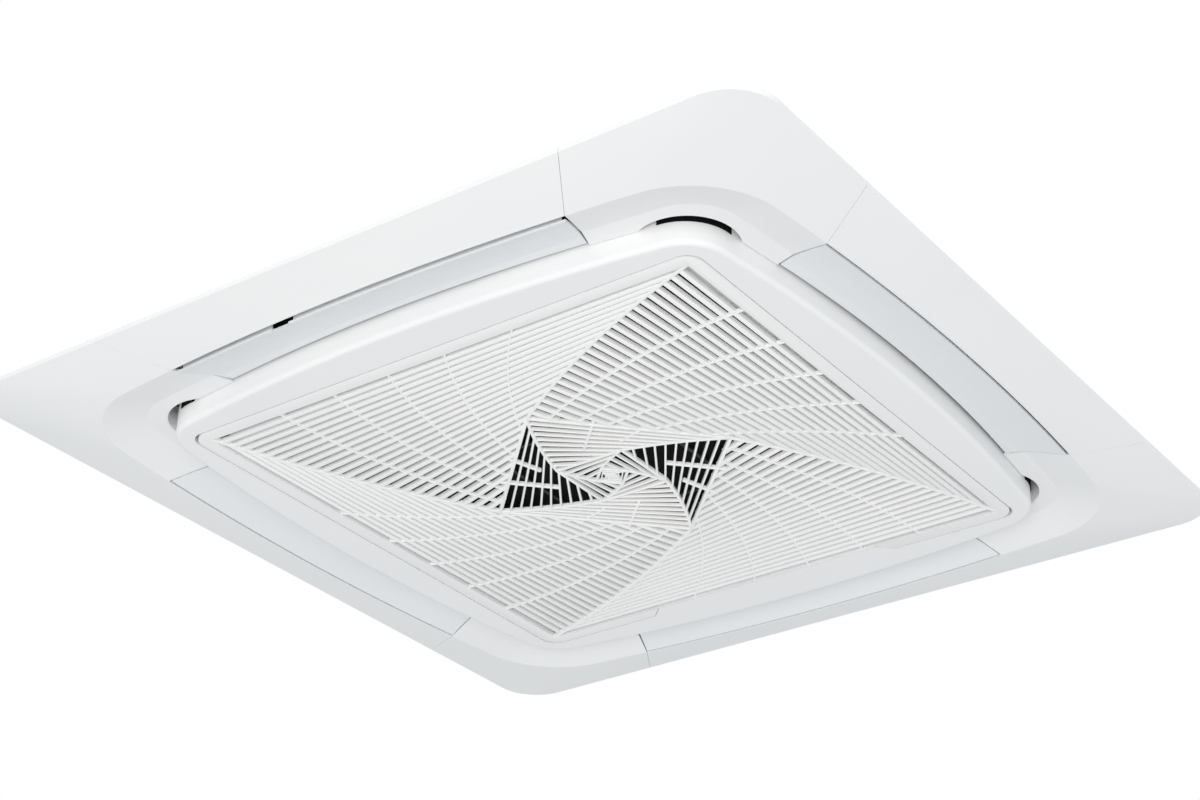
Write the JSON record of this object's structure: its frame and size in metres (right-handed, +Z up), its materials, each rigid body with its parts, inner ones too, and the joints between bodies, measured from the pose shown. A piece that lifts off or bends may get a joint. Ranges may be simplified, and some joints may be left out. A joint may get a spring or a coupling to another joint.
{
  "type": "ceiling cassette air conditioner",
  "caption": "Square four-way ceiling cassette: a whirl-slatted intake grille in a bowed centre frame, swinging air flaps and a steel body that hangs in the ceiling void.",
  "frame": {"origin": "middle of the decoration panel, in the plane of the ceiling that the panel lies against", "axes": "+Z up into the ceiling; X and Y along the panel's sides, the grille hinge on the -Y side and the refrigerant pipes at the +X +Y corner"},
  "size_m": [0.95, 0.95, 0.297],
  "materials": {
    "panel_white": "satin white moulding",
    "cover_white": "satin white moulding",
    "flap_white": "satin white moulding",
    "grille_white": "satin white moulding",
    "drive_plastic": "moulded",
    "shaft_plastic": "moulded",
    "bare_steel": "zinc plated",
    "black_plastic": "moulded",
    "filter_mesh": "woven net",
    "foam": "closed-cell foam",
    "galvanised": "galvanised sheet",
    "drain_foam": "moulded foam with a lining",
    "fan_plastic": "moulded",
    "coil_fins": "thin fins",
    "copper": "drawn copper",
    "brass": "machined",
    "mount_rubber": "moulded",
    "motor_casing": "painted",
    "pump_plastic": "moulded",
    "float_plastic": "moulded",
    "board_green": "printed board"
  },
  "bodies": {
    "unit": {"bell_mouth": "black_plastic", "casing_screws": "bare_steel", "coil_end_plates": "galvanised", "coil_tubes": "copper", "control_board": "board_green", "control_box": "pump_plastic", "control_box_cover": "galvanised", "corner_cover_back_left": "cover_white", "corner_cover_back_right": "cover_white", "corner_cover_front_left": "cover_white", "corner_cover_front_right": "cover_white", "corner_panel_back_left": "galvanised", "corner_panel_back_right": "galvanised", "corner_panel_front_left": "galvanised", "corner_panel_front_right": "galvanised", "drain_outlet": "pump_plastic", "drain_pan": "drain_foam", "drain_pump": "pump_plastic", "fan_motor": "motor_casing", "flap_motor_back": "drive_plastic", "flap_motor_front": "drive_plastic", "flap_motor_left": "drive_plastic", "flap_motor_right": "drive_plastic", "flare_unions": "brass", "float_switch": "pump_plastic", "gas_pipe": "copper", "grille_hinge_brackets": "black_plastic", "hanger_brackets": "galvanised", "heat_exchanger": "coil_fins", "inner_duct_gasket": "foam", "liner": "foam", "liquid_pipe": "copper", "motor_mounts": "mount_rubber", "outer_duct_gasket": "foam", "panel_frame": "panel_white", "panel_screws": "bare_steel", "pipe_cover_plate": "galvanised", "side_panel_back": "galvanised", "side_panel_front": "galvanised", "side_panel_left": "galvanised", "side_panel_right": "galvanised", "top_plate": "galvanised"},
    "flap_front": {"air_flap_front": "flap_white", "flap_shaft_front": "shaft_plastic"},
    "flap_right": {"air_flap_right": "flap_white", "flap_shaft_right": "shaft_plastic"},
    "flap_back": {"air_flap_back": "flap_white", "flap_shaft_back": "shaft_plastic"},
    "flap_left": {"air_flap_left": "flap_white", "flap_shaft_left": "shaft_plastic"},
    "grille": {"intake_grille": "grille_white", "grille_hinge_pins": "bare_steel", "grille_catches": "black_plastic", "filter_frame": "black_plastic", "filter_net": "filter_mesh"},
    "fan": {"turbo_fan": "fan_plastic", "motor_shaft": "bare_steel", "fan_nut": "bare_steel"},
    "impeller": {"pump_impeller": "black_plastic"},
    "float": {"float": "float_plastic"}
  },
  "joints": [
    {"name": "flap_hinge_front", "type": "hinge", "parent": "unit", "child": "flap_front", "pos_m": [0, -0.368, 0], "axis": [1, 0, 0], "range_deg": [-4, 41]},
    {"name": "flap_hinge_right", "type": "hinge", "parent": "unit", "child": "flap_right", "pos_m": [0.368, 0, 0], "axis": [0, 1, 0], "range_deg": [0, 45]},
    {"name": "flap_hinge_back", "type": "hinge", "parent": "unit", "child": "flap_back", "pos_m": [0, 0.368, 0], "axis": [-1, 0, 0], "range_deg": [0, 45]},
    {"name": "flap_hinge_left", "type": "hinge", "parent": "unit", "child": "flap_left", "pos_m": [-0.368, 0, 0], "axis": [0, -1, 0], "range_deg": [0, 45]},
    {"name": "grille_hinge", "type": "hinge", "parent": "unit", "child": "grille", "pos_m": [0, -0.2978, -0.0244], "axis": [-1, 0, 0], "range_deg": [0, 85]},
    {"name": "fan_spin", "type": "hinge", "parent": "unit", "child": "fan", "pos_m": [0, 0, 0.165], "axis": [0, 0, 1], "continuous": true},
    {"name": "impeller_spin", "type": "hinge", "parent": "unit", "child": "impeller", "pos_m": [-0.30618, 0.34153, 0.047], "axis": [0, 0, 1], "continuous": true},
    {"name": "float_slide", "type": "slide", "parent": "unit", "child": "float", "axis": [0, 0, 1], "range_m": [0, 0.008]}
  ]
}
